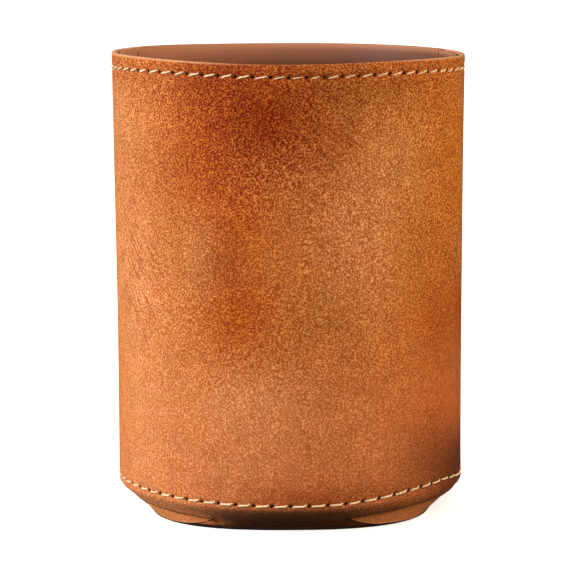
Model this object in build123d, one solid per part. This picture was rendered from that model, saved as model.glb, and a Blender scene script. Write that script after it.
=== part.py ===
from build123d import *
import math
import os

# Leather dice cup: a round leather wall over a board tube, with a leather lining, a felt floor,
# a four-tab turned-in foot and a leather sole. Millimetres, +Z up, front towards -Y.
# The origin is the centre of the underside, where the sole meets the table.

os.makedirs("parts", exist_ok=True)

# Outer form
foot_radius = 39.55          # outside of the leather from the base seam up to flare_start
rim_radius = 40.2            # outside of the leather at the mouth
flare_start = 30.0           # height where the wall begins to open out
rim_height = 103.8           # rim at the front and back
rim_side_rise = 0.6          # the rim stands this much higher at the two sides
back_half_angle = 68.0       # half of the back lining panel's arc
panel_gap = 2.4              # between the two lining panels, along the wall

# Layers of the wall, from the outside in
leather = 1.1
board = 0.7
lining = 0.9
glue = 0.05                  # adhesive film between two layers

# Foot
sole_thickness = 1.0
sole_width = 65.0
sole_corner = 26.5           # plan corner radius of the squarish sole
shoulder_height = 5.9        # where the straight wall would meet the turned-in slope
toe_radius = 33.6            # where the slope would meet the flat toe
toe_end = 30.0               # inner end of the leather turned under the cup
bend_radius = 3.5            # outside bend at the shoulder and at the toe
flange_top = 10.0            # top of the dish flange, bottom of the board tube
opening_height = 3.2         # top of each foot opening
opening_half_width = 13.6    # half of the opening where it meets the sole
lip_clearance = 0.15

# Floor
board_bottom_radius = 31.6
board_top_radius = 35.0
board_thickness = 2.7
felt_radius = 35.9
felt_thickness = 1.4
lining_foot = 8.8            # lower edge of the lining, just above the base seam

# Back seam
seam_gap = 0.4
strip_width = 16.0
strip_clearance = 0.1
seam_row_offset = 3.2        # each stitch row from the middle of the seam
seam_row_bottom = 13.0
seam_row_top = 96.0

# Stitching
thread = 0.65                # needle thread, on the outside
bobbin_thread = 0.4          # thinner thread on the inside
stitch_length = 3.1
rim_stitches = 64
base_stitches = 60
stitch_slant = 16.0
stitch_lift = 0.06           # keeps a straight stitch clear of the round wall
rim_row_drop = 2.9           # rim row below the rim
base_row_height = 6.9        # base row at the front and back
base_row_side_rise = 0.9
bobbin_rise = 0.4            # the inner run of the base seam sits higher, clear of the foot's bend
seam_stitch_count = 21
relief_depth = 0.5           # channel in the back of the lining that clears the rim row's bobbin thread
relief_margin = 0.3

# Derived sizes
board_inset = leather + glue
lining_inset = board_inset + board + glue
inner_inset = lining_inset + lining
dish_inset = board_inset + board
toe_height = sole_thickness + glue
rim_row_height = rim_height - rim_row_drop
blank_height = rim_height + 4.0
saddle_radius = rim_radius ** 2 / (2 * rim_side_rise)
flare_length = rim_height - flare_start
flare = rim_radius - foot_radius
flare_radius = (flare_length ** 2 + flare ** 2) / (2 * flare)


def wall_radius(height):
    """Outside radius of the leather wall: straight at first, then opening along a large arc."""
    if height <= flare_start:
        return foot_radius
    rise = height - flare_start
    return foot_radius + flare_radius - math.sqrt(flare_radius ** 2 - rise ** 2)


def wall_line(inset, bottom):
    """One side of a wall layer, inset from the outside, from bottom up past the rim."""
    start = (foot_radius - inset, flare_start)
    middle_height = (flare_start + blank_height) / 2
    middle = (wall_radius(middle_height) - inset, middle_height)
    end = (wall_radius(blank_height) - inset, blank_height)
    return [Line((foot_radius - inset, bottom), start), ThreePointArc(start, middle, end)]


def foot_line(inset, top):
    """One side of the turned-in foot, inset from the outside, from the toe up to top."""
    corner = inset * math.tan(math.radians(22.5))
    return FilletPolyline(
        (toe_end, toe_height + inset),
        (toe_radius - corner, toe_height + inset),
        (foot_radius - inset, shoulder_height + corner),
        (foot_radius - inset, top),
        radius=bend_radius - inset,
    )


def turned(edges):
    """Closed outline in the radius and height plane, turned about the cup's axis."""
    return revolve(Plane.XZ * make_face(edges), Axis.Z)


def wall_layer(outer, inner, bottom):
    """Tube between two insets, from bottom to well above the rim."""
    outside = wall_line(outer, bottom)
    inside = wall_line(inner, bottom)
    foot = Line(outside[0] @ 0, inside[0] @ 0)
    head = Line(outside[1] @ 1, inside[1] @ 1)
    return turned(outside + inside + [foot, head])


def above_rim(lift):
    """Everything above the saddle-shaped rim, moved up by lift."""
    drum = Cylinder(saddle_radius, 3 * rim_radius, rotation=(90, 0, 0))
    return Pos(0, 0, rim_height + lift + saddle_radius) * drum


def foot_openings(shrink):
    """Four low arches on the diagonals, where the foot leather is cut away."""
    sagitta = opening_height - toe_height
    radius = (opening_half_width ** 2 + sagitta ** 2) / (2 * sagitta)
    reach = foot_radius - toe_end + 6
    drum = Cylinder(radius - shrink, reach, rotation=(0, 90, 0))
    arch = Pos(toe_end + reach / 2 - 2, 0, opening_height - radius) * drum
    slab = Pos(0, 0, toe_height + 5) * Box(200, 200, 10)
    return [Rot(0, 0, angle) * arch & slab for angle in (45, 135, 225, 315)]


def back_block(width, bottom):
    """Block through the wall at the back, used for the seam and its strip."""
    depth = 12.0
    centre = Pos(0, foot_radius, bottom + blank_height / 2)
    return centre * Box(width, depth, blank_height)


def outer_wrap():
    outside = wall_line(0, flange_top)
    inside = wall_line(leather, flange_top)
    foot_outside = foot_line(0, flange_top)
    foot_inside = foot_line(leather, flange_top)
    toe = Line(foot_outside @ 0, foot_inside @ 0)
    head = Line(outside[1] @ 1, inside[1] @ 1)
    shell = turned(outside + inside + [foot_outside, foot_inside, toe, head])
    shell -= above_rim(0)
    for opening in foot_openings(0):
        shell -= opening
    return shell - back_block(seam_gap, 0)


def stiffener_tube():
    tube = wall_layer(board_inset, dish_inset, flange_top + glue)
    return tube - above_rim(-0.5) - back_block(strip_width, 0)


def seam_backing_strip():
    tube = wall_layer(board_inset, dish_inset, flange_top + glue)
    tube -= above_rim(-0.5)
    return tube & back_block(strip_width - 2 * strip_clearance, 0)


def lining_sector(half_angle):
    """Wedge about the back that holds one lining panel."""
    reach = 2 * rim_radius
    side = math.radians(half_angle)
    left = (-reach * math.sin(side), reach * math.cos(side))
    right = (reach * math.sin(side), reach * math.cos(side))
    crown = 3 * reach
    face = make_face(Polyline((0, 0), left, (-reach, crown), (reach, crown), right, close=True))
    return extrude(face, blank_height + 1)


def thread_relief():
    """Ring taken out of the back of the lining behind the rim row."""
    low = rim_row_height - bobbin_thread / 2 - relief_margin
    high = rim_row_height + rim_side_rise + bobbin_thread / 2 + relief_margin
    radius = wall_radius(rim_row_height) - lining_inset
    ring = Cylinder(radius + 1, high - low) - Cylinder(radius - relief_depth, high - low)
    return Pos(0, 0, (low + high) / 2) * ring


def lining_tube(lift):
    """Full round of lining, its top edge raised by lift over the leather rim."""
    return wall_layer(lining_inset, inner_inset, lining_foot) - above_rim(lift) - thread_relief()


def lining_back():
    return lining_tube(0.2) & lining_sector(back_half_angle)


def lining_front():
    gap_angle = math.degrees(panel_gap / (rim_radius - inner_inset))
    return lining_tube(-0.2) - lining_sector(back_half_angle + gap_angle)


def base_dish():
    outside = foot_line(board_inset, flange_top)
    inside = foot_line(dish_inset, flange_top)
    top = Line(outside @ 1, inside @ 1)
    outer_centre = (0, toe_height + board_inset)
    inner_centre = (0, toe_height + dish_inset)
    under = Line(outside @ 0, outer_centre)
    over = Line(inside @ 0, inner_centre)
    axis = Line(outer_centre, inner_centre)
    dish = turned([outside, inside, top, under, over, axis])
    lip_outside = foot_line(0.1, flange_top)
    lip_inside = foot_line(dish_inset - 0.2, flange_top)
    lip_toe = Line(lip_outside @ 0, lip_inside @ 0)
    lip_top = Line(lip_outside @ 1, lip_inside @ 1)
    lips = turned([lip_outside, lip_inside, lip_toe, lip_top])
    for opening in foot_openings(lip_clearance):
        dish += lips & opening
    return dish


def base_board():
    bottom = toe_height + dish_inset + glue
    middle = Pos(0, 0, bottom + board_thickness / 2)
    return middle * Cone(board_bottom_radius, board_top_radius, board_thickness)


def floor_pad():
    bottom = toe_height + dish_inset + board_thickness + 2 * glue
    disc = Pos(0, 0, bottom + felt_thickness / 2) * Cylinder(felt_radius, felt_thickness)
    upper_edge = disc.edges().sort_by(Axis.Z)[-1]
    return fillet(upper_edge, 0.5)


def sole():
    plan = RectangleRounded(sole_width, sole_width, sole_corner)
    plate = extrude(plan, sole_thickness)
    return fillet(plate.edges().group_by(Axis.Z)[0], 0.3)


def stitch(diameter):
    """One straight run of thread with round ends, lying along Y."""
    half = (stitch_length - diameter) / 2
    run = Cylinder(diameter / 2, 2 * half, rotation=(90, 0, 0))
    ball = Sphere(diameter / 2)
    return run + Pos(0, half, 0) * ball + Pos(0, -half, 0) * ball


def round_row(count, low_height, side_rise, surface_inset, diameter, slant):
    """Stitches round the cup, against the face at surface_inset, the row rising towards the sides."""
    outward = 1 if surface_inset == 0 else -1
    run = stitch(diameter)
    pieces = []
    for number in range(count):
        angle = 360 * (number + 0.5) / count
        height = low_height + side_rise * math.cos(math.radians(angle)) ** 2
        radius = wall_radius(height) - surface_inset + outward * (diameter / 2 + stitch_lift)
        place = Rot(0, 0, angle) * Pos(radius, 0, height) * Rot(slant, 0, 0)
        pieces.append(place * run)
    return Compound(children=pieces)


def rim_row(surface_inset, diameter, slant):
    return round_row(rim_stitches, rim_row_height, rim_side_rise, surface_inset, diameter, slant)


def base_row(low_height, surface_inset, diameter):
    return round_row(base_stitches, low_height, base_row_side_rise, surface_inset, diameter, 0)


def seam_rows():
    """Two upright rows of stitches, one on each side of the back seam."""
    pitch = (seam_row_top - seam_row_bottom) / (seam_stitch_count - 1)
    run = stitch(thread)
    pieces = []
    for side in (-1, 1):
        for number in range(seam_stitch_count):
            height = seam_row_bottom + number * pitch
            reach = wall_radius(height + stitch_length) + thread / 2 + stitch_lift
            angle = 90 - side * math.degrees(seam_row_offset / reach)
            upright = Rot(90 - side * stitch_slant, 0, 0)
            pieces.append(Rot(0, 0, angle) * Pos(reach, 0, height) * upright * run)
    return Compound(children=pieces)


nodes = {
    "outer_wrap": outer_wrap(),
    "stiffener_tube": stiffener_tube(),
    "seam_backing_strip": seam_backing_strip(),
    "lining_back": lining_back(),
    "lining_front": lining_front(),
    "base_dish": base_dish(),
    "base_board": base_board(),
    "floor_pad": floor_pad(),
    "sole": sole(),
    "rim_needle_thread": rim_row(0, thread, stitch_slant),
    "rim_bobbin_thread": rim_row(dish_inset, bobbin_thread, 0),
    "base_needle_thread": base_row(base_row_height, 0, thread),
    "base_bobbin_thread": base_row(base_row_height + bobbin_rise, dish_inset, bobbin_thread),
    "back_seam_thread": seam_rows(),
}

for name, shape in nodes.items():
    export_step(shape, f"parts/{name}.step")
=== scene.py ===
"""Leather dice cup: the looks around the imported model.

Lengths in the tables and functions below are millimetres, and MM turns them into metres when a
mesh is made. phi is the azimuth in radians from the front (-Y), positive towards +X.
"""

import math

import bpy
import numpy as np
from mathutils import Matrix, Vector


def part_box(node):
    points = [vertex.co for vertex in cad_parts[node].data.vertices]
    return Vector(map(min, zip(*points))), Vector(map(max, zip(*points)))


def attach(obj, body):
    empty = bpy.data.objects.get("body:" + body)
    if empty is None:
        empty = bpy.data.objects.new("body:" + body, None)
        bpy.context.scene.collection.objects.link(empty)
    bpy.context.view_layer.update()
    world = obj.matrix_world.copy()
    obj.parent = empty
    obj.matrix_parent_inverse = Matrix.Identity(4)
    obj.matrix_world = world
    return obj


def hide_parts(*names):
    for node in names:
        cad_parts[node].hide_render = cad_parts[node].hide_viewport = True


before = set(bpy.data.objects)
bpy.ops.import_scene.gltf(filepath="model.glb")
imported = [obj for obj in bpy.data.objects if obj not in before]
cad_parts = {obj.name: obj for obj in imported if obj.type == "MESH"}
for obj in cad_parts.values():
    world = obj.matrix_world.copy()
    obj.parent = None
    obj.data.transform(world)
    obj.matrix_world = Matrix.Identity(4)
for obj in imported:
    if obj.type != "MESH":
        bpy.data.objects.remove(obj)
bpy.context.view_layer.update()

MM = 0.001
rng = np.random.default_rng(7)


def node_box(name):
    """Lowest and highest corner of a CAD node, in millimetres."""
    low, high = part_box(name)
    return np.array(low) / MM, np.array(high) / MM


# ---- sizes taken from the CAD nodes ----
RIM_RADIUS = node_box("outer_wrap")[1][0]
RIM_SIDE = node_box("outer_wrap")[1][2]
SOLE_TOP = node_box("sole")[1][2]
LINING_FOOT = node_box("lining_back")[0][2]
FLANGE_TOP = node_box("base_dish")[1][2]
PAD_LOW, PAD_HIGH = node_box("floor_pad")
STRIP_HALF = node_box("seam_backing_strip")[1][0]
SEAM_LOW = node_box("back_seam_thread")[0][2]
SEAM_HIGH = node_box("back_seam_thread")[1][2]

# ---- layers of the wall, from the outside in ----
LEATHER = 1.1
BOARD = 0.7
LINING = 0.9
GLUE = 0.05
BOARD_DEPTH = LEATHER + GLUE
LINING_DEPTH = BOARD_DEPTH + BOARD + GLUE
INNER_DEPTH = LINING_DEPTH + LINING
DISH_INNER = BOARD_DEPTH + BOARD
FOOT_RADIUS = node_box("base_dish")[1][0] + BOARD_DEPTH

# ---- form ----
RIM_FRONT = RIM_SIDE - 0.4
RIM_RISE = 0.35
RIM_LEAN = 0.45
RIM_WAVE = 0.30
RIM_ROW_WAVE = 0.45
FLARE_START = 30.0
BEND_TOP = 6.95
TOE_WIDTH = 32.4
TOE_POWER = 2.6
TOE_HEIGHT = SOLE_TOP + GLUE
DISH_LOW = 1.25
LEAF_BULGE = 0.38
LEAF_LIP = 0.45
LEAF_DROP = 0.14
SOLE_POWER = 2.6
SOLE_INSET = 0.25
FOLD_HEIGHTS = (BEND_TOP, 4.98, 3.37, TOE_HEIGHT)
FOLD_FULLNESS = 2.35
CORNER_FULLNESS = 0.5
FOLD_LEAN = 1.15
BACK_HALF = math.radians(68)
PANEL_GAP = 1.1 / (RIM_RADIUS - INNER_DEPTH)
SEAM_HALF_GAP = 0.05

# ---- stitching ----
RIM_STITCHES = 64
BASE_STITCHES = 60
SEAM_STITCHES = 21
RIM_ROW_DROP = 2.8
BASE_ROW = 6.9
THREAD = 0.44
THREAD_LIFT = -0.02
THREAD_SINK = 0.45
ARCH_POWER = 3.6
PLY_TURNS = 3.2
END_TAPER = 0.25
BOBBIN = 0.4
SEAM_OFFSET = 3.2
RUN_STEPS = 17
COLUMNS = 960


def smooth(low, high, x):
    """Smooth step from 0 at low to 1 at high."""
    t = np.clip((x - low) / (high - low), 0, 1)
    return t * t * (3 - 2 * t)


def front_wave(phi):
    """0 at the front and the sides and 1 between them; 0 all round the back."""
    return (np.cos(phi) > 0) * np.sin(2 * phi) ** 2


def rim_height(phi):
    """The cut edge dips at the front and back, stands higher on the left, and waves a little."""
    side = np.sin(phi)
    lean = RIM_RISE * side ** 2 - RIM_LEAN * side * np.abs(side)
    return RIM_FRONT + lean + RIM_WAVE * front_wave(phi)


def rim_row_height(phi):
    """The rim seam leans less than the edge above it."""
    return RIM_FRONT - RIM_ROW_DROP - 0.25 * np.sin(phi) + RIM_ROW_WAVE * front_wave(phi)


def base_row_height(phi):
    """Base seam: higher at the sides, and sewn a little high at the front right."""
    turn = np.degrees(phi)
    wander = smooth(12, 52, turn) * (1 - smooth(60, 82, turn))
    return BASE_ROW + 0.9 * np.sin(phi) ** 2 + 1.25 * wander


def wall_radius(height):
    rise = np.clip((height - FLARE_START) / (RIM_SIDE - FLARE_START), 0, 2)
    return FOOT_RADIUS + (RIM_RADIUS - FOOT_RADIUS) * rise ** 2


def round_square(phi, power):
    """Plan of a square with very round corners, as a share of half its width."""
    return (np.abs(np.sin(phi)) ** power + np.abs(np.cos(phi)) ** power) ** (-1 / power)


def toe_radius(phi):
    return TOE_WIDTH * round_square(phi, TOE_POWER)


def lump(phi, height):
    """Slow unevenness of the hand-made wall, the same for every layer."""
    high = np.asarray(height) / 104
    shape = 0.10 * np.cos(2 * phi + 1.1 + 1.5 * high) + 0.09 * np.cos(3 * phi - 0.6 - 2.4 * high)
    shape = shape + 0.05 * np.cos(5 * phi + 2.0 + 5.0 * high) + 0.04 * np.sin(7 * phi + 8 * high)
    return shape * (0.35 + 0.65 * np.sin(np.pi * np.clip(high, 0, 1)))


def edge_dimming(phi):
    """How far the rim's cut edge is darkened: most at the front."""
    return np.exp(-(((np.degrees(phi) - 8) / 34) ** 4))


def curve_weights(t):
    """Shares of the four control points of a cubic curve, t from 0 to 1."""
    return (1 - t) ** 3, 3 * t * (1 - t) ** 2, 3 * t * t * (1 - t), t ** 3


def surface(phi, along, depth):
    """Points of the wall. along is the height above the bend; from 0 down to -1 it runs round the
    foot to the toe. depth is measured inwards from the leather's outside, along the normal."""
    phi, along, depth = np.broadcast_arrays(
        np.asarray(phi, float), np.asarray(along, float), np.asarray(depth, float)
    )
    t = np.clip(-along, 0, 1)
    toe = toe_radius(phi)
    corner = np.abs(np.sin(2 * phi))
    fullness = (FOLD_FULLNESS - FOLD_LEAN * np.sin(phi)) * (1 - corner) + CORNER_FULLNESS * corner
    radii = (FOOT_RADIUS, FOOT_RADIUS + 0.05, toe + fullness, toe)
    heights = FOLD_HEIGHTS
    weights = curve_weights(t)
    slopes = (3 * (1 - t) ** 2, 6 * t * (1 - t), 3 * t * t)
    radius = sum(w * r for w, r in zip(weights, radii))
    height = sum(w * h for w, h in zip(weights, heights))
    run = sum(s * (radii[i + 1] - radii[i]) for i, s in enumerate(slopes))
    fall = sum(s * (heights[i + 1] - heights[i]) for i, s in enumerate(slopes))
    length = np.hypot(run, fall)
    out_radius = -fall / length
    out_height = run / length
    upper = along > 0
    height = np.where(upper, BEND_TOP + along, height)
    radius = np.where(upper, wall_radius(height), radius)
    out_radius = np.where(upper, 1.0, out_radius)
    out_height = np.where(upper, 0.0, out_height)
    push = lump(phi, height) * smooth(-0.9, 0.6, along) - depth
    radius = radius + push * out_radius
    height = height + push * out_height
    return np.stack([radius * np.sin(phi), -radius * np.cos(phi), height], -1)


FOOT_STEPS = np.linspace(0, 1, 400)


def along_at(height):
    """The place along the wall whose outside is at that height, the same at every azimuth."""
    heights = sum(w * h for w, h in zip(curve_weights(FOOT_STEPS), FOLD_HEIGHTS))
    below = -np.interp(-np.asarray(height, float), -heights, FOOT_STEPS)
    return np.where(np.asarray(height) > BEND_TOP, np.asarray(height) - BEND_TOP, below)


# ---- the four openings of the foot, each an almond between two tips ----
# from, to: azimuth of the tips in degrees; then the heights of the two tips, and how far the
# upper edge rises and the lower edge drops from the line between them. Elsewhere the two edges
# meet at SHUT_HEIGHT.
SHUT_HEIGHT = 2.8
OPENINGS = (
    (20.5, 72.0, 2.95, 5.1, 0.85, 3.0),
    (-68.0, -28.5, 3.7, 2.55, 0.45, 2.0),
    (113.0, 156.0, 3.4, 2.8, 0.5, 2.1),
    (-158.0, -114.0, 2.7, 3.3, 0.5, 2.0),
)


def opening_edges(phi):
    """Upper edge, lower edge and place across the almond (-1 to 1) at each azimuth.
    Outside the openings the two edges meet, and the place is beyond 1."""
    turn = np.degrees(phi)
    upper = np.full(turn.shape, SHUT_HEIGHT)
    lower = upper.copy()
    across = np.full(turn.shape, 9.0)
    for start, end, start_height, end_height, rise, drop in OPENINGS:
        u = (2 * turn - start - end) / (end - start)
        middle = start_height + (end_height - start_height) * (np.clip(u, -1, 1) + 1) / 2
        near = np.abs(u) < 1.6
        fade = 1 - smooth(1.0, 1.6, np.abs(u))
        middle = SHUT_HEIGHT + (middle - SHUT_HEIGHT) * fade
        bow = np.clip(1 - u * u, 0, None)
        upper = np.where(near, middle + rise * bow, upper)
        lower = np.where(near, np.maximum(middle - drop * bow, TOE_HEIGHT + 0.12), lower)
        across = np.where(near, u, across)
    return upper, lower, across


# ---- mesh helpers ----

def finish_mesh(name, points, faces, material, replaced=(), sharp=None):
    """Makes one piece from millimetre points, smooth shaded, riding on the body."""
    mesh = bpy.data.meshes.new(name)
    mesh.from_pydata((np.asarray(points) * MM).tolist(), [], [list(map(int, f)) for f in faces])
    mesh.validate()
    mesh.polygons.foreach_set("use_smooth", [True] * len(mesh.polygons))
    if sharp:
        mesh.set_sharp_from_angle(angle=math.radians(sharp))
    mesh.materials.append(material)
    piece = bpy.data.objects.new(name, mesh)
    bpy.context.scene.collection.objects.link(piece)
    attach(piece, "root")
    if replaced:
        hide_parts(*replaced)
    return piece


def paint(piece, name, values):
    """Stores one number per vertex for the material to read."""
    layer = piece.data.attributes.new(name, "FLOAT", "POINT")
    layer.data.foreach_set("value", np.asarray(values, np.float32).ravel())


def paint_colour(piece, name, colours):
    layer = piece.data.attributes.new(name, "FLOAT_COLOR", "POINT")
    full = np.ones((len(colours), 4), np.float32)
    full[:, :3] = colours
    layer.data.foreach_set("color", full.ravel())


def sheet_faces(index, flip=False):
    """Quads over a grid of vertex numbers."""
    a, b, c, d = index[:-1, :-1], index[:-1, 1:], index[1:, 1:], index[1:, :-1]
    quads = np.stack([a, b, c, d], -1).reshape(-1, 4)
    return quads[:, ::-1] if flip else quads


def looped(index, axis):
    """The grid with its first row or column repeated at the end."""
    return np.concatenate([index, index.take([0], axis)], axis)


# ---- outer wrap ----

def stitch_relief(phi, height, row_height, count):
    """Dent of a sewn row: a shallow trough with a deep hole between stitches. Returns the
    outward move and how much of each point lies in a hole."""
    pitch = 2 * math.pi / count
    offset = (phi / pitch + 0.5) % 1 - 0.5
    sideways = offset * pitch * FOOT_RADIUS
    rise = height - row_height
    slant = 0.28 * sideways
    hole = np.exp(-((sideways / 0.46) ** 2 + ((rise - slant) / 0.40) ** 2))
    trough = np.exp(-((rise / 0.75) ** 2))
    puff = np.exp(-(((np.abs(rise) - 1.5) / 0.8) ** 2)) * (0.6 + 0.4 * np.cos(2 * np.pi * offset))
    return -0.55 * hole - 0.16 * trough + 0.05 * puff, hole


def wrap_rows():
    """Places of the outer rows: drops below the rim, rises over the rim seam, plain heights, and
    rises over the base seam. They stand closer together near a seam."""
    near_rim = np.array([0.30, 0.55, 0.9, 1.3])
    near_row = np.array([1.15, 0.85, 0.6, 0.4, 0.2, 0.0, -0.2, -0.4, -0.6, -0.85, -1.2, -1.7, -2.5])
    middle = np.linspace(96.5, 13.0, 34)
    near_base = np.array([4.0, 2.9, 2.1, 1.5, 1.1, 0.8, 0.55, 0.35, 0.15, -0.05, -0.25, -0.45, -0.7,
                          -1.0, -1.4])
    return near_rim, near_row, middle, near_base


def build_outer_wrap(material):
    phi = np.linspace(-math.pi, math.pi, COLUMNS + 1)
    half_gap = SEAM_HALF_GAP / FOOT_RADIUS
    phi[0] += half_gap
    phi[-1] -= half_gap
    upper_edge, lower_edge, across = opening_edges(phi)
    is_open = np.abs(across) < 0.995
    near_rim, near_row, middle, near_base = wrap_rows()
    rim = rim_height(phi)
    rim_row = rim_row_height(phi)
    row = base_row_height(phi)
    heights = [rim - d for d in near_rim] + [rim_row + d for d in near_row]
    heights += [np.full(phi.shape, h) for h in middle]
    heights += [row + d for d in near_base]
    along = [along_at(h) for h in heights]
    last = along[-1]
    hem = along_at(upper_edge)
    for share in (0.25, 0.5, 0.72, 0.88, 1.0):
        along.append(last + (hem - last) * share)
    upper = np.stack(along)
    foot_top = along_at(lower_edge)
    lower = np.stack([foot_top + (-1.0 - foot_top) * k for k in (0, 0.12, 0.35, 0.65, 1.0)])

    def outer(grid):
        """Outer face with its stitch dents, edge roll and seam crease."""
        bare = surface(phi, grid, 0.0)
        height = bare[..., 2]
        rim_dent, rim_hole = stitch_relief(phi, height, rim_row, RIM_STITCHES)
        base_dent, base_hole = stitch_relief(phi, height, row, BASE_STITCHES)
        seam = (math.pi - np.abs(phi)) * FOOT_RADIUS
        crease = 0.28 * np.exp(-((seam / 0.7) ** 2))
        crease = crease + 0.06 * np.exp(-(((seam - SEAM_OFFSET) / 0.9) ** 2))
        lift = np.where(is_open, 0.25, 0.0) * smooth(1.6, 0.0, height - upper_edge)
        points = surface(phi, grid, -(rim_dent + base_dent) + crease - lift)
        return points, np.maximum(rim_hole, base_hole)

    outer_upper, pits_upper = outer(upper)
    outer_lower, pits_lower = outer(lower)
    roll = ((0.05, -0.14), (0.20, -0.03), (0.45, 0.02), (0.75, 0.0), (0.98, -0.08))
    edge = np.stack([surface(phi, rim + dz - BEND_TOP, depth) for depth, dz in roll])
    inner_places = [rim - 0.3 - BEND_TOP, np.full(phi.shape, 90.0), np.full(phi.shape, 60.0),
                    np.full(phi.shape, 30.0), np.full(phi.shape, 4.0), last, hem]
    inner_upper = np.stack([surface(phi, p, LEATHER) for p in inner_places])
    inner_lower = np.stack([surface(phi, p, LEATHER) for p in (lower[0], lower[-1])])

    blocks = [outer_upper, outer_lower, edge, inner_upper, inner_lower]
    sizes = [b.shape[0] * b.shape[1] for b in blocks]
    starts = np.concatenate([[0], np.cumsum(sizes)])
    index = [starts[i] + np.arange(sizes[i]).reshape(b.shape[:2]) for i, b in enumerate(blocks)]
    upper_id, lower_id, edge_id, inner_upper_id, inner_lower_id = index
    lower_id[0] = np.where(is_open, lower_id[0], upper_id[-1])
    inner_lower_id[0] = np.where(is_open, inner_lower_id[0], inner_upper_id[-1])
    rim_strip = np.concatenate([inner_upper_id[:1], edge_id[::-1], upper_id[:1]])
    toe_strip = np.stack([lower_id[-1], inner_lower_id[-1]])
    faces = [
        sheet_faces(upper_id, True), sheet_faces(lower_id, True), sheet_faces(rim_strip, True),
        sheet_faces(inner_upper_id), sheet_faces(inner_lower_id), sheet_faces(toe_strip, True),
    ]
    open_segment = is_open[:-1] | is_open[1:]
    hem_wall = sheet_faces(np.stack([upper_id[-1], inner_upper_id[-1]]), True)[open_segment]
    foot_wall = sheet_faces(np.stack([lower_id[0], inner_lower_id[0]]))[open_segment]
    faces += [hem_wall, foot_wall]
    caps = []
    for column, order in ((0, 1), (-1, -1)):
        outside = np.concatenate([upper_id[:, column], lower_id[1:, column]])
        inside = np.concatenate([edge_id[:, column], inner_upper_id[:, column],
                                 inner_lower_id[1:, column]])
        loop = np.concatenate([outside[::-1], inside])
        caps.append(loop[::order])
    points = np.concatenate([b.reshape(-1, 3) for b in blocks])
    used = np.zeros(len(points), bool)
    quads = np.concatenate(faces)
    used[quads.ravel()] = True
    renumber = np.cumsum(used) - 1
    quads = renumber[quads]
    caps = [renumber[c] for c in caps]
    piece = finish_mesh("leather_wrap", points[used], list(quads) + caps, material,
                        ["outer_wrap"], 62)
    raw = np.zeros(len(points))
    raw[edge_id] = 1 - 0.95 * edge_dimming(phi)
    raw[upper_id[0]] = 0.45 * (1 - edge_dimming(phi))
    raw[inner_upper_id] = 0.6
    # painted shade: dark in the needle holes of both rows and along both edges of every foot
    # opening
    pit_shades = np.zeros(len(points))
    pit_shades[: sizes[0]] = pits_upper.ravel()
    pit_shades[sizes[0]: sizes[0] + sizes[1]] = pits_lower.ravel()
    pit_shades[upper_id[-1]] = np.where(is_open, 0.7, 0)
    pit_shades[lower_id[0]] = np.where(is_open, 0.7, 0)
    paint(piece, "raw_edge", raw[used])
    paint(piece, "pit_shade", pit_shades[used])
    paint_hide(piece, points[used])
    return piece


# ---- colours of the hide ----
TAN = (0.432, 0.112, 0.017)
AMBER = (0.480, 0.130, 0.007)
UMBER = (0.205, 0.023, 0.0)
RUST = (0.330, 0.050, 0.001)
PEACH = (0.600, 0.215, 0.066)
ROSE = (0.500, 0.142, 0.040)
BRICK = (0.470, 0.095, 0.018)
MAROON = (0.085, 0.012, 0.003)
OCHRE = (0.470, 0.180, 0.046)
OLIVE = (0.300, 0.105, 0.012)

# soft patches, laid one over the other: azimuth in degrees, height, half width and half height
# in mm, strength, colour; and how many more are placed at random round the back. A few of them
# are painted light or painted shade, as marked below.
BACK_PATCHES = 14
PATCHES = (
    (-75, 88, 16, 16, 0.50, OCHRE),
    # painted highlight: these three PEACH patches brighten the lit left side, for the key light's
    # sheen
    (-64, 56, 15, 24, 0.62, PEACH),
    (-62, 26, 13, 16, 0.60, PEACH),
    (-56, 12, 13, 12, 0.45, PEACH),
    (-78, 28, 10, 14, 0.30, TAN),
    # painted light: brightens the downward-facing fold below the base seam on the lit left side
    (-52, 4.6, 20, 2.2, 0.85, PEACH),
    (-20, 12, 46, 22, 0.80, ROSE),
    (28, 16, 22, 20, 0.70, ROSE),
    (-12, 30, 16, 8, 0.40, PEACH),
    (24, 66, 11, 18, 0.55, PEACH),
    (38, 82, 11, 12, 0.60, OCHRE),
    (24, 97, 13, 5, 0.55, OLIVE),
    (12, 50, 9, 7, 0.30, OLIVE),
    (-44, 67, 6, 5, 0.35, OLIVE),
    (44, 62, 6, 9, 0.30, OLIVE),
    (-56, 79, 22, 7, 0.22, UMBER),
    (-28, 84, 11, 18, 0.75, RUST),
    (-17, 70, 8, 9, 0.55, RUST),
    (-8, 93, 15, 13, 0.95, UMBER),
    (-24, 101, 10, 7, 0.60, UMBER),
    (-17, 49, 9, 10, 0.80, RUST),
    (-30, 62, 5, 9, 0.35, OCHRE),
    (-21, 60, 6, 6, 0.40, UMBER),
    (66, 25, 15, 10, 0.80, BRICK),
    (35, 101, 26, 5, 0.35, UMBER),
    (-62, 101, 22, 5, 0.35, UMBER),
    (82, 84, 20, 26, 0.90, AMBER),
    (81, 46, 13, 10, 0.85, RUST),
    (56, 45, 8, 9, 0.45, RUST),
    # painted shade: this MAROON patch darkens the lower right
    (52, 17, 10, 7, 0.40, MAROON),
    (8, 8.6, 21, 3.2, 0.60, UMBER),
    # painted shade: these two MAROON patches darken the lower right corner
    (80, 9, 26, 9, 0.95, MAROON),
    (84, 12, 14, 7, 0.92, MAROON),
)

# where fine creases show: azimuth in degrees, height, half width and half height in mm;
# and the direction they run in, along the girth and up
CREASES = ((-60, 57, 10, 16), (9, 88, 12, 8), (150, 70, 12, 14))
CREASE_RUN = (0.656, -0.755)

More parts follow.
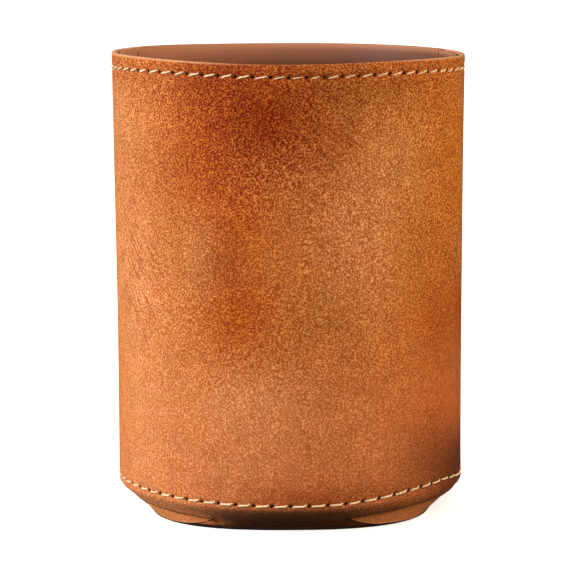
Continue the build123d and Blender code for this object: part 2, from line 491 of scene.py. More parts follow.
# share of the full nap that wall and foot show, what the nap's hollows and tips and worn hide
# multiply the colour by, the tips' pale colour being partly grain and partly a painted highlight,
# and where the wall shows more or less nap than that: azimuth in degrees, height, half width and
# half height in mm, change
WALL_NAP = 0.556
FOOT_NAP = 0.25
NAP_HOLLOW = (0.556, 0.188, 0.0)
NAP_TIP_HIGHLIGHT = (1.89, 3.0, 5.6)
NAP_WORN = (0.97, 1.07, 1.0)
NAP_ZONES = (
    (-14, 86, 17, 15, 0.75),
    (-20, 49, 9, 9, 0.25),
    (74, 78, 16, 30, 0.65),
    (-75, 38, 16, 22, -0.20),
)


def spot(phi, height, turn, level, wide, tall):
    """A soft patch of the wall: 1 in its middle, 0.37 at its half width or half height."""
    angle = (phi - math.radians(turn) + math.pi) % (2 * math.pi) - math.pi
    reach = (angle * FOOT_RADIUS / wide) ** 2 + ((height - level) / tall) ** 2
    return np.exp(-reach)


def nap_strength(phi, height):
    """The nap is worn smoother near the foot and stands up towards the rim."""
    strength = 0.76 + 0.24 * smooth(26, 44, height) + 0.35 * smooth(84, 100, height)
    for turn, level, wide, tall, change in NAP_ZONES:
        strength = strength + change * spot(phi, height, turn, level, wide, tall)
    return np.clip(WALL_NAP * strength, 0, 1)


def leather_tone(points):
    """Colour of the hide at each point: tan, with soft patches, and freer ones at the back. Some
    patches are painted light or painted shade, and painted shade darkens the foot towards the
    bottom, less on the lit left side.
    """
    phi = np.arctan2(points[:, 0], -points[:, 1])
    height = points[:, 2]
    colour = np.tile(np.array(TAN), (len(points), 1))
    patches = list(PATCHES)
    for _ in range(BACK_PATCHES):
        turn = rng.uniform(105, 255)
        size = rng.uniform(9, 22)
        hue = (RUST, UMBER, PEACH, AMBER)[rng.integers(4)]
        patches.append((turn, rng.uniform(8, 98), size, size * rng.uniform(0.7, 1.5),
                        rng.uniform(0.45, 0.8), hue))
    for turn, level, wide, tall, strength, hue in patches:
        weight = (strength * spot(phi, height, turn, level, wide, tall))[:, None]
        colour = colour * (1 - weight) + np.array(hue) * weight
    turned = np.degrees(phi)
    lit_side = smooth(-19, -33, turned) * smooth(-105, -85, turned)
    # painted shade: the foot darkens towards the bottom where it turns under, away from the light,
    # less on the lit left side
    dark = 0.62 * smooth(7.4, 3.2, height) + 0.30 * smooth(3.8, 1.8, height)
    painted_foot_shade = (dark * (1 - 0.85 * lit_side))[:, None]
    return colour * (1 - painted_foot_shade) + np.array(MAROON) * 0.5 * painted_foot_shade


def paint_hide(piece, points):
    """Colour of the hide, and where and along which lines it shows fine slanting creases."""
    paint_colour(piece, "tone", leather_tone(points))
    phi = np.arctan2(points[:, 0], -points[:, 1])
    height = points[:, 2]
    zone = np.zeros(len(points))
    for place in CREASES:
        zone = np.maximum(zone, spot(phi, height, *place))
    girth = phi * FOOT_RADIUS
    paint(piece, "nap", nap_strength(phi, height))
    paint(piece, "crease", zone)
    paint(piece, "along", girth * CREASE_RUN[0] + height * CREASE_RUN[1])
    paint(piece, "across", height * CREASE_RUN[0] - girth * CREASE_RUN[1])


# ---- other leather layers ----

def build_panel(name, material, start, end, columns, rows, outer_depths, inner_depths, top_of,
                replaced, top_roll=0.12):
    """A curved sheet between two azimuths. rows are places along the wall, lowest first; the
    last one is replaced by the panel's own top edge."""
    phi = np.linspace(start, end, columns)
    places = [np.full(phi.shape, float(r)) for r in rows[:-1]]
    top = top_of(phi) - BEND_TOP
    outside = [surface(phi, p, d) for p, d in zip(places, outer_depths)]
    inside = [surface(phi, p, d) for p, d in zip(places, inner_depths)]
    d_out, d_in = outer_depths[-1], inner_depths[-1]
    third = (d_in - d_out) / 3
    crown = [
        surface(phi, top - 2 * top_roll, d_out),
        surface(phi, top - 0.4 * top_roll, d_out + 0.35 * third),
        surface(phi, top, d_out + third),
        surface(phi, top, d_in - third),
        surface(phi, top - 0.4 * top_roll, d_in - 0.35 * third),
        surface(phi, top - 2 * top_roll, d_in),
    ]
    loop = np.stack(outside + crown + inside[::-1])
    index = np.arange(loop.shape[0] * columns).reshape(loop.shape[:2])
    faces = list(sheet_faces(looped(index, 0)))
    faces.append(index[::-1, 0])
    faces.append(index[:, -1])
    piece = finish_mesh(name, loop.reshape(-1, 3), faces, material, replaced, 50)
    edge = np.zeros(loop.shape[:2])
    edge[len(outside): len(outside) + 6] = 1 - 0.95 * edge_dimming(phi)
    edge[:, [0, -1]] = 1
    paint(piece, "raw_edge", edge)
    return piece


def lining_top(lift):
    return lambda phi: rim_height(phi) + lift


def build_linings(material):
    """Two smooth panels, with a channel behind the rim row for the bobbin thread."""
    low = LINING_FOOT - BEND_TOP
    rows = [low, low + 0.5, 20, 40, 60, 80, 91.0, 93.0, 93.1, 95.5, 95.6, 0]
    outer = [LINING_DEPTH] * 8 + [LINING_DEPTH + 0.5] * 2 + [LINING_DEPTH] * 2
    inner = [INNER_DEPTH - 0.25, INNER_DEPTH] + [INNER_DEPTH] * 10
    build_panel("back_lining", material, math.pi - BACK_HALF, math.pi + BACK_HALF, 220, rows,
                outer, inner, lining_top(0.2), ["lining_back"])
    side = math.pi - BACK_HALF - PANEL_GAP
    build_panel("front_lining", material, -side, side, 340, rows,
                outer, inner, lining_top(-0.2), ["lining_front"])


def build_board_tube(material):
    low = FLANGE_TOP + GLUE - BEND_TOP
    rows = [low, low + 0.2, 30, 60, 90, 0]
    half = (STRIP_HALF + 0.1) / FOOT_RADIUS
    build_panel("board_tube", material, -math.pi + half, math.pi - half, 300, rows,
                [BOARD_DEPTH] * 6, [DISH_INNER] * 6, lining_top(-0.5),
                ["stiffener_tube"])


def build_backing_strip(material):
    low = FLANGE_TOP + GLUE - BEND_TOP
    rows = [low, low + 0.2, 30, 60, 90, 0]
    half = STRIP_HALF / FOOT_RADIUS
    build_panel("seam_backing", material, math.pi - half, math.pi + half, 24, rows,
                [BOARD_DEPTH] * 6, [DISH_INNER] * 6, lining_top(-0.5),
                ["seam_backing_strip"])


def build_dish(material):
    """Leather dish of the foot. It bulges out through the four openings, where its lower edge
    shows as a leaf over the sole."""
    phi = np.linspace(-math.pi, math.pi, COLUMNS, endpoint=False)
    upper_edge, lower_edge, across = opening_edges(phi)
    inside_opening = np.abs(across) < 1
    swell = np.clip(1 - across ** 2, 0, None) ** 0.35 * inside_opening
    edge_ramp = 1 - smooth(1.0, 1.18, np.abs(across))
    low = DISH_LOW + (np.maximum(lower_edge + 0.03, 1.1) - DISH_LOW) * edge_ramp
    low_place = along_at(low)
    flange = FLANGE_TOP - BEND_TOP
    shares = np.concatenate([[0, 0.2, 0.35], np.linspace(0.44, 0.96, 16), [0.98, 1.0]])
    places = flange + (low_place - flange) * shares[:, None]
    height = surface(phi, places, 0.0)[..., 2]
    span = np.maximum(upper_edge - lower_edge, 0.3)
    down = (upper_edge - height) / span
    bulge = smooth(-0.02, 0.55, down) * swell
    # painted shade: a dark line on the dish just under the wrap's hem edge
    crease = np.exp(-(((down - 0.05) / 0.19) ** 2)) * inside_opening
    lip = smooth(0.35, 1.0, down) * swell
    depth = BOARD_DEPTH - bulge * (BOARD_DEPTH + LEAF_BULGE) - LEAF_LIP * lip
    outer = surface(phi, places, depth)
    outer[..., 2] -= LEAF_DROP * lip
    tip_depth = depth[-1]
    under = np.stack([
        surface(phi, low_place - 0.012, tip_depth + 0.22),
        surface(phi, low_place - 0.012, tip_depth + 0.75 * swell + 0.3 * (1 - swell)),
        surface(phi, np.maximum(low_place - 0.01, -1), np.full(phi.shape, DISH_INNER - 0.1)),
    ])
    inner = surface(phi, places[::-1][1:], DISH_INNER)
    points = np.concatenate([outer, under, inner])
    index = np.arange(points.shape[0] * COLUMNS).reshape(points.shape[:2])
    faces = sheet_faces(looped(looped(index, 1), 0), True)
    piece = finish_mesh("base_dish_leather", points.reshape(-1, 3), faces, material,
                        ["base_dish"], 55)
    raw = np.zeros(points.shape[:2])
    rows_outer = len(shares)
    raw[rows_outer - 1] = 0.30 * swell
    raw[rows_outer] = 0.5
    pit_shades = np.zeros(raw.shape)
    pit_shades[:rows_outer] = crease
    paint(piece, "raw_edge", raw)
    paint(piece, "pit_shade", pit_shades)
    tone = leather_tone(points.reshape(-1, 3))
    paint_colour(piece, "tone", np.maximum(tone, np.array(ROSE) * 0.8))
    paint(piece, "nap", np.full(pit_shades.shape, FOOT_NAP))
    return piece


def build_polar(name, material, profile, columns, replaced, plan=None, bumps=0.0):
    """A closed round piece from a radius and height outline that starts and ends on the axis.
    plan makes it other than round, and bumps is how far the inboard points stray in height."""
    phi = np.linspace(-math.pi, math.pi, columns, endpoint=False)
    outline = np.asarray(profile, float)
    ring = outline[1:-1]
    radius = ring[:, :1] * np.ones((1, columns))
    if plan is not None:
        radius = radius * plan(phi)[None, :]
    inboard = ring[:, :1] < ring[:, 0].max() - 1
    height = ring[:, 1:] + bumps * rng.normal(size=radius.shape) * inboard
    grid = np.stack([radius * np.sin(phi), -radius * np.cos(phi), height], -1)
    index = np.arange(grid.shape[0] * columns).reshape(grid.shape[:2])
    first = index.size
    last = first + 1
    turn = looped(index, 1)
    faces = list(sheet_faces(turn))
    for a, b in zip(turn[0][:-1], turn[0][1:]):
        faces.append((first, b, a))
    for a, b in zip(turn[-1][:-1], turn[-1][1:]):
        faces.append((last, a, b))
    points = np.concatenate([grid.reshape(-1, 3), [[0, 0, outline[0, 1]], [0, 0, outline[-1, 1]]]])
    return finish_mesh(name, points, faces, material, replaced, 50)


def build_sole(material):
    """Squarish leather sole with rounded cut edges."""
    inner = [(r, 0.0) for r in (6, 12, 18, 24, 29, 31.5)]
    reach = TOE_WIDTH - SOLE_INSET
    edge = [(reach - 0.5, 0.02), (reach - 0.2, 0.12), (reach, 0.35), (reach, 0.72),
            (reach - 0.12, 0.92), (reach - 0.4, SOLE_TOP)]
    top = [(r, SOLE_TOP) for r in (30, 20, 10)]
    outline = [(0, 0.0)] + inner + edge + top + [(0, SOLE_TOP)]
    build_polar("sole_leather", material, outline, 240, ["sole"],
                lambda phi: round_square(phi, SOLE_POWER))


def build_pad(material):
    """Felt disc with a soft edge and a slightly uneven top."""
    low, high = PAD_LOW[2], PAD_HIGH[2]
    reach = PAD_HIGH[0]
    under = [(r, low) for r in (12, 24, reach - 0.4)]
    edge = [(reach, low + 0.3), (reach, high - 0.5), (reach - 0.2, high - 0.15)]
    top = [(r, high) for r in np.linspace(reach - 0.6, 1.2, 40)]
    outline = [(0, low)] + under + edge + top + [(0, high)]
    build_polar("felt_floor", material, outline, 260, ["floor_pad"], bumps=0.035)


# ---- thread ----

def twisted_run(path, radius):
    """Tube along the path with two plies wound round each other, narrower at its two ends."""
    path = np.asarray(path)
    steps = len(path)
    tangent = np.gradient(path, axis=0)
    tangent /= np.linalg.norm(tangent, axis=1)[:, None]
    guide = path[steps // 2] * (1, 1, 0)
    guide /= np.linalg.norm(guide)
    side = np.cross(tangent, guide)
    side /= np.linalg.norm(side, axis=1)[:, None]
    up = np.cross(side, tangent)
    angle = np.linspace(0, 2 * math.pi, 12, endpoint=False)
    share = np.linspace(0, 1, steps)[:, None]
    ply = np.abs(np.cos(angle - PLY_TURNS * math.pi * share))
    profile = radius * (0.80 + 0.24 * ply) * (1 - END_TAPER * np.abs(2 * share - 1) ** 6)
    ring = path[:, None, :] + side[:, None, :] * (profile * np.cos(angle))[..., None]
    return ring + up[:, None, :] * (profile * np.sin(angle))[..., None]


def thread_piece(name, runs, material, replaced):
    """One piece from many separate runs of thread, each closed at both ends."""
    points, faces, shade = [], [], []
    start = 0
    for ring in runs:
        steps, sides = ring.shape[:2]
        index = start + np.arange(steps * sides).reshape(steps, sides)
        faces += list(sheet_faces(looped(index, 1)))
        faces.append(index[0])
        faces.append(index[-1][::-1])
        points.append(ring.reshape(-1, 3))
        shade.append(np.full(steps * sides, rng.uniform(0, 1)))
        start += steps * sides
    piece = finish_mesh(name, np.concatenate(points), faces, material, [replaced])
    paint(piece, "ply_shade", np.concatenate(shade))
    return piece


def arch(share, lift):
    """Distance over the surface along one run: it rises out of a hole and dives into the next."""
    return lift - (lift + THREAD_SINK) * np.abs(2 * share - 1) ** ARCH_POWER


def rubbed(phi):
    """Where the thread lies deeper in the hide, just right of the front."""
    return np.exp(-(((np.degrees(phi) - 6) / 18) ** 2)) + 0.35 * smooth(10, 40, np.degrees(phi))


def round_runs(count, height_of, rise, depth, radius, outward, gap, curl=0.0, worn=0.0):
    """Runs of a row round the cup. rise is half the height between the two ends of a run, gap the
    share of the pitch left free at each end, curl how far the last end turns up, and worn how
    much deeper and thinner the rubbed stretch is."""
    runs = []
    pitch = 2 * math.pi / count
    share = np.linspace(0, 1, RUN_STEPS)
    for number in range(count):
        jitter = rng.normal(size=4) * (0.012, 0.05, 0.035, 0.10)
        start = (number + gap + jitter[0]) * pitch
        end = (number + 1 - gap - jitter[0]) * pitch
        phi = (start + (end - start) * share + math.pi) % (2 * math.pi) - math.pi
        ease = share + 0.06 * np.sin(2 * math.pi * share)
        tilt = (2 * ease - 1) * (rise + jitter[1])
        height = height_of(phi) + tilt + curl * smooth(0.75, 1.0, share)
        over = arch(share, THREAD_LIFT + 0.6 * jitter[2] - worn * rubbed(phi))
        along = along_at(height)
        path = surface(phi, along, depth - outward * over)
        thin = 1 - 2.2 * worn * rubbed(phi[RUN_STEPS // 2])
        runs.append(twisted_run(path, radius * (1 + 0.5 * jitter[3]) * thin))
    return runs


def build_threads(material, bobbin_material):
    def raised_base_row(phi):
        return np.minimum(base_row_height(phi) + 0.35, LINING_FOOT - 0.35)

    half = THREAD / 2
    thin = BOBBIN / 2
    rim_runs = round_runs(RIM_STITCHES, rim_row_height, 0.40, 0.0, half, 1, 0.14, worn=0.17)
    thread_piece("rim_stitches", rim_runs, material, "rim_needle_thread")
    base_runs = round_runs(BASE_STITCHES, base_row_height, 0.10, 0.0, half, 1, 0.13, curl=0.34)
    thread_piece("base_stitches", base_runs, material, "base_needle_thread")
    rim_bobbin = round_runs(RIM_STITCHES, rim_row_height, 0.0, DISH_INNER, thin, -1, 0.08)
    thread_piece("rim_bobbin_stitches", rim_bobbin, bobbin_material, "rim_bobbin_thread")
    base_bobbin = round_runs(BASE_STITCHES, raised_base_row, 0.0, DISH_INNER, thin, -1, 0.08)
    thread_piece("base_bobbin_stitches", base_bobbin, bobbin_material, "base_bobbin_thread")
    thread_piece("seam_stitches", seam_runs(half), material, "back_seam_thread")


def seam_runs(radius):
    """Two upright rows of stitches beside the back seam, slanting towards it."""
    runs = []
    pitch = (SEAM_HIGH - SEAM_LOW - 3.0) / (SEAM_STITCHES - 1)
    share = np.linspace(0, 1, RUN_STEPS)
    for side in (-1, 1):
        for number in range(SEAM_STITCHES):
            jitter = rng.normal(size=3) * (0.05, 0.04, 0.03)
            low = SEAM_LOW + 1.5 + (number - 0.39) * pitch + jitter[0]
            high = low + 0.78 * pitch
            height = low + (high - low) * share
            offset = SEAM_OFFSET + side * 0.35 * (2 * share - 1) + jitter[1]
            phi = math.pi - side * offset / FOOT_RADIUS
            over = arch(share, THREAD_LIFT + 0.6 * jitter[2])
            path = surface(phi, height - BEND_TOP, 0.06 - over)
            runs.append(twisted_run(path, radius))
    return runs


# ---- materials ----

class Shade:
    """Short calls for building one material's nodes."""

    def __init__(self, name):
        self.material = bpy.data.materials.new(name)
        self.material.use_nodes = True
        self.tree = self.material.node_tree
        self.tree.nodes.clear()
        output = self.tree.nodes.new("ShaderNodeOutputMaterial")
        self.surface = self.tree.nodes.new("ShaderNodeBsdfPrincipled")
        self.tree.links.new(self.surface.outputs[0], output.inputs[0])
        self.place = self.tree.nodes.new("ShaderNodeTexCoord").outputs["Object"]

    def feed(self, socket, value):
        if isinstance(value, bpy.types.NodeSocket):
            self.tree.links.new(value, socket)
        else:
            socket.default_value = value

    def set(self, **inputs):
        for name, value in inputs.items():
            self.feed(self.surface.inputs[name.replace("_", " ")], value)

    def noise(self, size_mm, detail=2.0, roughness=0.5, stretch=None, distortion=0.0):
        """Noise with features of about size_mm, optionally stretched along an axis."""
        node = self.tree.nodes.new("ShaderNodeTexNoise")
        place = self.place
        if stretch:
            mapping = self.tree.nodes.new("ShaderNodeMapping")
            mapping.inputs["Scale"].default_value = stretch
            self.tree.links.new(place, mapping.inputs["Vector"])
            place = mapping.outputs[0]
        self.tree.links.new(place, node.inputs["Vector"])
        node.inputs["Scale"].default_value = 1 / (size_mm * MM)
        node.inputs["Detail"].default_value = detail
        node.inputs["Roughness"].default_value = roughness
        node.inputs["Distortion"].default_value = distortion
        return node.outputs["Fac"]

    def creases(self, width_mm, length_mm):
        """Fine lines along the painted crease direction: 0 on a line, 1 away from it."""
        joined = self.tree.nodes.new("ShaderNodeCombineXYZ")
        self.feed(joined.inputs["X"], self.math("DIVIDE", self.attribute("across"), width_mm))
        self.feed(joined.inputs["Y"], self.math("DIVIDE", self.attribute("along"), length_mm))
        node = self.tree.nodes.new("ShaderNodeTexNoise")
        node.inputs["Scale"].default_value = 1.0
        node.inputs["Detail"].default_value = 1.0
        self.tree.links.new(joined.outputs[0], node.inputs["Vector"])
        ridge = self.math("ABSOLUTE", self.math("SUBTRACT", node.outputs["Fac"], 0.5))
        return self.span(ridge, 0.0, 0.05)

    def cells(self, size_mm):
        """Distance to the nearest of many scattered points, about size_mm apart."""
        node = self.tree.nodes.new("ShaderNodeTexVoronoi")
        self.tree.links.new(self.place, node.inputs["Vector"])
        node.inputs["Scale"].default_value = 1 / (size_mm * MM)
        return node.outputs["Distance"]

    def attribute(self, name, output="Fac"):
        node = self.tree.nodes.new("ShaderNodeAttribute")
        node.attribute_name = name
        return node.outputs[output]

    def math(self, operation, a, b=0.0):
        node = self.tree.nodes.new("ShaderNodeMath")
        node.operation = operation
        self.feed(node.inputs[0], a)
        self.feed(node.inputs[1], b)
        return node.outputs[0]

    def span(self, value, low, high, to_low=0.0, to_high=1.0):
        """Maps low..high to to_low..to_high, held at the ends."""
        node = self.tree.nodes.new("ShaderNodeMapRange")
        self.feed(node.inputs["Value"], value)
        ends = {"From Min": low, "From Max": high, "To Min": to_low, "To Max": to_high}
        for name, number in ends.items():
            node.inputs[name].default_value = number
        return node.outputs[0]

    def mix(self, share, a, b, blend="MIX"):
        node = self.tree.nodes.new("ShaderNodeMix")
        node.data_type = "RGBA"
        node.blend_type = blend
        self.feed(node.inputs["Factor"], share)
        for socket, value in ((node.inputs[6], a), (node.inputs[7], b)):
            self.feed(socket, value if isinstance(value, bpy.types.NodeSocket) else (*value, 1.0))
        return node.outputs[2]

    def gain(self, colour, factor):
        """Multiplies a colour by a number."""
        node = self.tree.nodes.new("ShaderNodeVectorMath")
        node.operation = "SCALE"
        self.feed(node.inputs[0], colour)
        self.feed(node.inputs["Scale"], factor)
        return node.outputs[0]

    def bump(self, height, distance_mm, strength=1.0, after=None):
        node = self.tree.nodes.new("ShaderNodeBump")
        self.feed(node.inputs["Strength"], strength)
        node.inputs["Distance"].default_value = distance_mm * MM
        self.feed(node.inputs["Height"], height)
        if after is not None:
            self.tree.links.new(after, node.inputs["Normal"])
        return node.outputs[0]


def seam_hole_shade(s):
    """Painted shade in the needle holes between the upright stitches of the back seam."""
    split = s.tree.nodes.new("ShaderNodeSeparateXYZ")
    s.tree.links.new(s.place, split.inputs[0])
    pitch = (SEAM_HIGH - SEAM_LOW - 3.0) / (SEAM_STITCHES - 1) * MM
    first = (SEAM_LOW + 1.5) * MM - 0.5 * pitch
    step = s.math("DIVIDE", s.math("SUBTRACT", split.outputs["Z"], first), pitch)
    level = s.math("SUBTRACT", s.math("FRACT", s.math("ADD", step, 0.5)), 0.5)
    level = s.math("MULTIPLY", level, pitch)
    side = s.math("SUBTRACT", s.math("ABSOLUTE", split.outputs["X"]), SEAM_OFFSET * MM)
    square = s.math("ADD", s.math("MULTIPLY", level, level), s.math("MULTIPLY", side, side))
    hole = s.span(s.math("SQRT", square), 0.24 * MM, 0.46 * MM, 1.0, 0.0)
    at_back = s.math("GREATER_THAN", split.outputs["Y"], 0.03)
    in_row = s.math("LESS_THAN", s.math("ABSOLUTE", s.math("SUBTRACT", step, SEAM_STITCHES / 2)),
                    SEAM_STITCHES / 2 + 0.3)
    return s.math("MULTIPLY", hole, s.math("MULTIPLY", at_back, in_row))


def leather_material(name, raw_colour):
    """Nubuck-like hide: fine speckled nap whose pale tips are partly a painted highlight, soft
    cloudy tone, pale raw edges, and painted shade in the needle holes, along the foot openings and
    in the crease lines.
    """
    s = Shade(name)
    nap = s.noise(0.37, 0.4, 0.5)
    fleck = s.noise(0.85, 2.0, 0.5)
    cloud = s.noise(5.5, 3.0, 0.55, None, 0.6)
    tone = s.attribute("tone", "Color")
    share = s.attribute("nap")
    speck = s.mix(s.span(nap, 0.40, 0.74), NAP_HOLLOW, NAP_TIP_HIGHLIGHT)
    speck = s.mix(share, NAP_WORN, speck)
    mottle = s.span(fleck, 0.3, 0.7, 0.97, 1.03)
    drift = s.span(cloud, 0.3, 0.7, 0.90, 1.10)
    colour = s.gain(s.gain(s.mix(1.0, tone, speck, "MULTIPLY"), mottle), drift)
    raw = s.attribute("raw_edge")
    raw_fibre = s.mix(s.span(fleck, 0.35, 0.65), raw_colour, tuple(0.72 * c for c in raw_colour))
    colour = s.mix(raw, colour, raw_fibre)
    # painted shade: the needle holes and the edges of the foot openings turn near black
    pit_shade = s.math("MAXIMUM", s.attribute("pit_shade"), seam_hole_shade(s))
    colour = s.mix(s.span(pit_shade, 0.22, 0.60), colour, (0.020, 0.006, 0.003))
    wrinkle = s.noise(3.2, 2.0, 0.5, (1.0, 1.0, 0.45), 0.4)
    folds = s.creases(2.0, 14.0)
    crease = s.attribute("crease")
    crease_line = s.math("MULTIPLY", crease, s.math("SUBTRACT", 1.0, folds))
    # painted shade: the crease lines darken the colour
    crease_shade_tone = s.mix(crease_line, (1.0, 1.0, 1.0), (0.62, 0.42, 0.28))
    colour = s.mix(1.0, colour, crease_shade_tone, "MULTIPLY")
    normal = s.bump(wrinkle, 0.22, 0.5)
    normal = s.bump(crease_line, -0.12, 1.0, normal)
    normal = s.bump(fleck, 0.07, 0.7, normal)
    normal = s.bump(nap, 0.234, share, normal)
    s.set(Base_Color=colour, Roughness=s.span(nap, 0.3, 0.7, 0.62, 0.82), Normal=normal)
    s.set(Sheen_Weight=0.08, Sheen_Roughness=0.45, Sheen_Tint=(1.0, 0.66, 0.40, 1.0))
    s.surface.inputs["Specular IOR Level"].default_value = 0.06
    return s.material


def lining_material():
    """Smooth coated leather, mauve brown, with a faint sheen and paler cut edges. Painted shade
    darkens it deeper below the rim and towards the right side.
    """
    s = Shade("lining")
    soft = s.noise(9.0, 3.0, 0.5)
    grain = s.cells(0.55)
    fine = s.noise(0.3, 2.0)
    lit_lining = s.mix(s.span(soft, 0.3, 0.7), (0.300, 0.106, 0.056), (0.340, 0.130, 0.072))
    shaded_lining = s.mix(s.span(soft, 0.3, 0.7), (0.110, 0.028, 0.010), (0.145, 0.040, 0.015))
    split = s.tree.nodes.new("ShaderNodeSeparateXYZ")
    s.tree.links.new(s.place, split.inputs[0])
    # painted shade: darker deeper below the rim, for the front rim's shadow on the inside wall
    colour = s.mix(s.span(split.outputs["Z"], 0.0985, 0.1025), shaded_lining, lit_lining)
    # painted shade: darker towards the right side of the inside
    colour = s.gain(colour, s.span(split.outputs["X"], -0.018, 0.026, 1.0, 0.52))
    colour = s.gain(colour, s.span(fine, 0.3, 0.7, 0.95, 1.05))
    colour = s.mix(s.math("MULTIPLY", s.attribute("raw_edge"), 0.8), colour, (0.42, 0.17, 0.08))
    normal = s.bump(grain, 0.02, 0.5)
    s.set(Base_Color=colour, Roughness=s.span(soft, 0.3, 0.7, 0.55, 0.68), Normal=normal)
    s.surface.inputs["Specular IOR Level"].default_value = 0.22
    return s.material


def sole_material():
    s = Shade("sole")
    grain = s.noise(0.6, 3.0, 0.6)
    soft = s.noise(8.0, 2.0)
    colour = s.mix(s.span(soft, 0.3, 0.7), (0.014, 0.004, 0.002), (0.030, 0.009, 0.004))
    colour = s.gain(colour, s.span(grain, 0.3, 0.7, 0.75, 1.3))
    s.set(Base_Color=colour, Roughness=0.75, Normal=s.bump(grain, 0.08, 0.7))
    s.surface.inputs["Specular IOR Level"].default_value = 0.15
    return s.material


def board_material():
    s = Shade("fibre_board")
    fibre = s.noise(0.7, 4.0, 0.65, (1.0, 1.0, 0.3))
    fleck = s.cells(1.1)
    colour = s.mix(s.span(fibre, 0.3, 0.7), (0.105, 0.056, 0.028), (0.175, 0.098, 0.052))
    colour = s.gain(colour, s.span(fleck, 0.0, 0.6, 0.82, 1.08))
    s.set(Base_Color=colour, Roughness=0.85, Normal=s.bump(fibre, 0.06, 0.6))
    return s.material


def felt_material():
    s = Shade("felt")
    fuzz = s.noise(0.35, 4.0, 0.7, None, 1.2)
    tuft = s.noise(1.6, 3.0, 0.6, None, 0.8)
    colour = s.mix(s.span(tuft, 0.3, 0.7), (0.115, 0.045, 0.030), (0.170, 0.070, 0.045))
    colour = s.gain(colour, s.span(fuzz, 0.3, 0.7, 0.7, 1.3))
    normal = s.bump(fuzz, 0.15, 0.9, s.bump(tuft, 0.25, 0.6))
    s.set(Base_Color=colour, Roughness=0.95, Normal=normal, Sheen_Weight=0.4, Sheen_Roughness=0.6)
    return s.material


def thread_material(name, light, dark):
    """Waxed thread: each run a little different, with fine fibres and soiling in the plies."""
    s = Shade(name)
    fibre = s.noise(0.14, 2.0, 0.5)
    soil = s.noise(1.4, 2.0, 0.5)
    colour = s.mix(s.attribute("ply_shade"), light, tuple(0.88 * c for c in light))
    colour = s.mix(s.span(soil, 0.5, 0.8, 0.0, 0.5), colour, dark)
    colour = s.gain(colour, s.span(fibre, 0.3, 0.7, 0.84, 1.10))
    s.set(Base_Color=colour, Roughness=0.55, Normal=s.bump(fibre, 0.03, 0.6))
    return s.material


def floor_material():
    s = Shade("floor_paper")
    tooth = s.noise(2.0, 2.0)
    colour = s.mix(s.span(tooth, 0.3, 0.7), (0.90, 0.90, 0.90), (0.93, 0.93, 0.93))
    away = s.tree.nodes.new("ShaderNodeVectorMath")
    away.operation = "LENGTH"
    s.tree.links.new(s.place, away.inputs[0])
    s.set(Base_Color=colour, Roughness=0.9)
    glow = s.span(away.outputs["Value"], 0.04, 0.20, 0.55, 1.0)
    s.set(Emission_Color=(1, 1, 1, 1), Emission_Strength=glow)
    return s.material


# ---- stage, light and camera ----

def build_stage():
    reach = 6.0
    points = [(-reach, -reach, 0), (reach, -reach, 0), (reach, reach, 0), (-reach, reach, 0)]
    mesh = bpy.data.meshes.new("floor")
    mesh.from_pydata(points, [], [(0, 1, 2, 3)])
    mesh.materials.append(floor_material())
    floor = bpy.data.objects.new("floor", mesh)
    bpy.context.scene.collection.objects.link(floor)
    floor.visible_diffuse = False
    floor.visible_glossy = False


def build_world(level):
    """White all round for the camera; a soft dome above the table for everything else."""
    world = bpy.data.worlds.new("studio")
    bpy.context.scene.world = world
    world.use_nodes = True
    tree = world.node_tree
    tree.nodes.clear()
    output = tree.nodes.new("ShaderNodeOutputWorld")
    seen = tree.nodes.new("ShaderNodeBackground")
    dome = tree.nodes.new("ShaderNodeBackground")
    mix = tree.nodes.new("ShaderNodeMixShader")
    path = tree.nodes.new("ShaderNodeLightPath")
    place = tree.nodes.new("ShaderNodeTexCoord")
    split = tree.nodes.new("ShaderNodeSeparateXYZ")
    above = tree.nodes.new("ShaderNodeMapRange")
    tree.links.new(place.outputs["Generated"], split.inputs[0])
    tree.links.new(split.outputs["Z"], above.inputs["Value"])
    above.inputs["From Min"].default_value = -0.10
    above.inputs["From Max"].default_value = 0.25
    above.inputs["To Min"].default_value = 0.02
    above.inputs["To Max"].default_value = level
    tree.links.new(above.outputs[0], dome.inputs["Strength"])
    seen.inputs["Strength"].default_value = 1.0
    for background in (seen, dome):
        background.inputs["Color"].default_value = (1, 1, 1, 1)
    tree.links.new(path.outputs["Is Camera Ray"], mix.inputs[0])
    tree.links.new(dome.outputs[0], mix.inputs[1])
    tree.links.new(seen.outputs[0], mix.inputs[2])
    tree.links.new(mix.outputs[0], output.inputs[0])


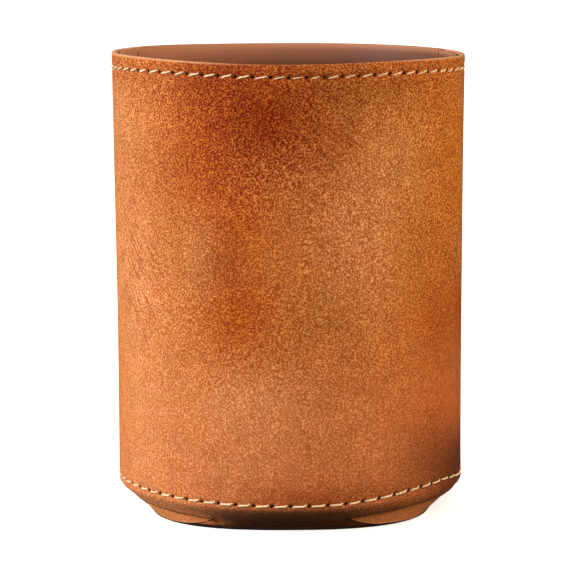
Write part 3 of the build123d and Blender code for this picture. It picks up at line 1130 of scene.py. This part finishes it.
def soft_light(name, place, size, power, colour=(1, 1, 1), aim=(0, 0, 0.05)):
    data = bpy.data.lights.new(name, "AREA")
    data.shape = "RECTANGLE"
    data.size, data.size_y = size
    data.energy = power
    data.color = colour
    lamp = bpy.data.objects.new(name, data)
    bpy.context.scene.collection.objects.link(lamp)
    lamp.location = place
    lamp.rotation_euler = (Vector(aim) - Vector(place)).to_track_quat("-Z", "Y").to_euler()
    return lamp


def build_lights():
    soft_light("key_left", (-0.74, -0.18, 0.25), (0.30, 0.45), 9.5, (1.0, 1.0, 1.0))
    soft_light("front_fill", (0.16, -0.90, 0.42), (0.7, 0.5), 4.6, (1.0, 0.97, 0.92))
    soft_light("right_fill", (0.66, -0.30, 0.34), (0.3, 0.5), 4.4, (1.0, 0.80, 0.50))


CAMERA_DISTANCE = 0.7104
CAMERA_HEIGHT = 0.1479
CAMERA_TILT = 0.1369
CAMERA_ROLL = 0.0052
CAMERA_LENS = 194.6
CAMERA_SHIFT = 0.0012


def build_camera():
    data = bpy.data.cameras.new("camera")
    data.lens = CAMERA_LENS
    data.sensor_width = 36.0
    data.shift_x = CAMERA_SHIFT
    data.clip_start = 0.01
    data.clip_end = 20.0
    camera = bpy.data.objects.new("camera", data)
    bpy.context.scene.collection.objects.link(camera)
    camera.location = (0, -CAMERA_DISTANCE, CAMERA_HEIGHT)
    camera.rotation_euler = (math.pi / 2 - CAMERA_TILT, CAMERA_ROLL, 0)
    bpy.context.scene.camera = camera


def dress_cad_node(name, material):
    """A CAD node whose shape is right keeps its mesh and gets a finished material."""
    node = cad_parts[name]
    node.data.materials.clear()
    node.data.materials.append(material)


def main():
    hide = leather_material("tan_hide", (0.66, 0.30, 0.15))
    foot = leather_material("foot_hide", (0.74, 0.36, 0.19))
    lining = lining_material()
    board = board_material()
    build_outer_wrap(hide)
    build_dish(foot)
    build_linings(lining)
    build_board_tube(board)
    build_backing_strip(lining)
    build_sole(sole_material())
    build_pad(felt_material())
    cream = thread_material("cream_thread", (0.82, 0.62, 0.37), (0.42, 0.24, 0.11))
    inner = thread_material("bobbin_thread", (0.55, 0.36, 0.20), (0.30, 0.17, 0.08))
    build_threads(cream, inner)
    dress_cad_node("base_board", board)
    build_stage()
    build_world(0.38)
    build_lights()
    build_camera()
    bpy.context.scene.view_settings.view_transform = "Standard"
    bpy.context.scene.view_settings.look = "None"


main()
